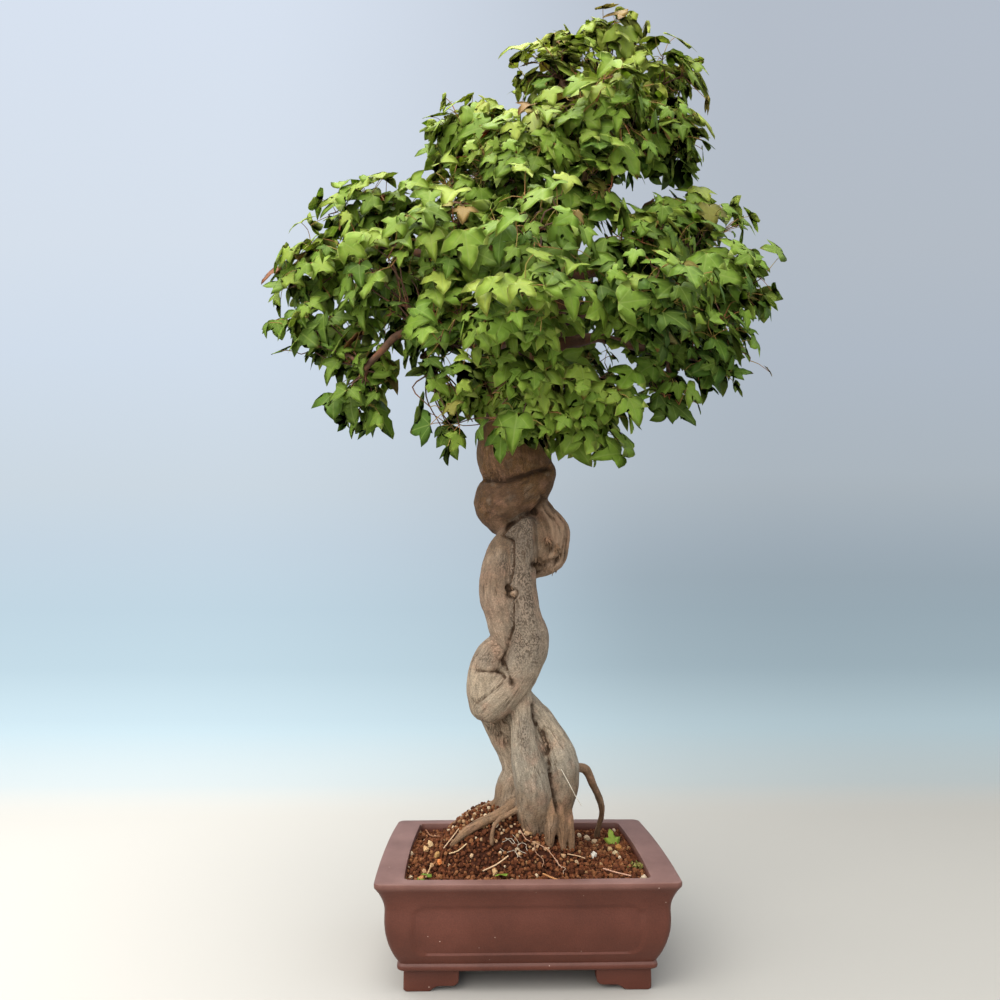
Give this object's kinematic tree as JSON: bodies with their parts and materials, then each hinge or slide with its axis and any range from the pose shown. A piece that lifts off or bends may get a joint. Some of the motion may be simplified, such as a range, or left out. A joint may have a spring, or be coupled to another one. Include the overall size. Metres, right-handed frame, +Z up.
{
  "type": "bonsai tree in a pot",
  "caption": "Trident maple bonsai with a tall twisted trunk and a broad leafy crown, growing in granular soil in a shallow rectangular clay pot on cloud feet.",
  "frame": {"origin": "on the ground, under the middle of the pot and of the crown", "axes": "+Z up, +X along the pot to the right of the front view, +Y to the back"},
  "size_m": [0.6854, 0.4657, 1.2505],
  "materials": {
    "clay": "unglazed, matt",
    "bark": "smooth grey-brown bark, matt",
    "twig_bark": "brown twig bark, matt",
    "leaf": "thin green leaf, soft sheen",
    "soil": "granular fired clay soil, matt",
    "grit": "coarse pumice grit, matt",
    "screen": "moulded plastic",
    "wire": "drawn wire"
  },
  "bodies": {
    "root": {"pot": "clay", "drainage_screen_left": "screen", "drainage_screen_right": "screen", "screen_clip_left": "wire", "screen_clip_right": "wire", "anchor_wire": "wire", "drainage_gravel": "grit", "trunk": "bark", "soil": "soil", "branch_left_main": "twig_bark", "branch_left_low": "twig_bark", "branch_left_back": "twig_bark", "branch_left_high": "twig_bark", "branch_right_low": "twig_bark", "branch_right_main": "twig_bark", "branch_right_back": "twig_bark", "branch_front_low": "twig_bark", "branch_front_right": "twig_bark", "branch_front_high": "twig_bark", "branch_back": "twig_bark", "branch_back_low": "twig_bark", "branch_shoulder": "twig_bark", "branch_shoulder_back": "twig_bark", "branch_crown_left": "twig_bark", "branch_crown_right": "twig_bark", "branch_crown_back": "twig_bark", "foliage_crown_top": "leaf", "foliage_crown_left": "leaf", "foliage_crown_right": "leaf", "foliage_crown_tail": "leaf", "foliage_crown_front": "leaf", "foliage_crown_back": "leaf", "foliage_centre_high": "leaf", "foliage_shoulder_left": "leaf", "foliage_shoulder_front": "leaf", "foliage_shoulder_back": "leaf", "foliage_shoulder_low": "leaf", "foliage_left_top": "leaf", "foliage_left_outer": "leaf", "foliage_left_front": "leaf", "foliage_left_low": "leaf", "foliage_left_hang": "leaf", "foliage_left_back": "leaf", "foliage_left_inner": "leaf", "foliage_centre_front": "leaf", "foliage_centre_low": "leaf", "foliage_centre_left": "leaf", "foliage_centre_back": "leaf", "foliage_right_inner": "leaf", "foliage_right_top": "leaf", "foliage_right_outer": "leaf", "foliage_right_front": "leaf", "foliage_right_low": "leaf", "foliage_right_back": "leaf", "foliage_right_hang": "leaf", "foliage_low_left": "leaf", "foliage_low_front": "leaf", "foliage_low_right": "leaf", "foliage_low_back": "leaf"}
  },
  "joints": []
}
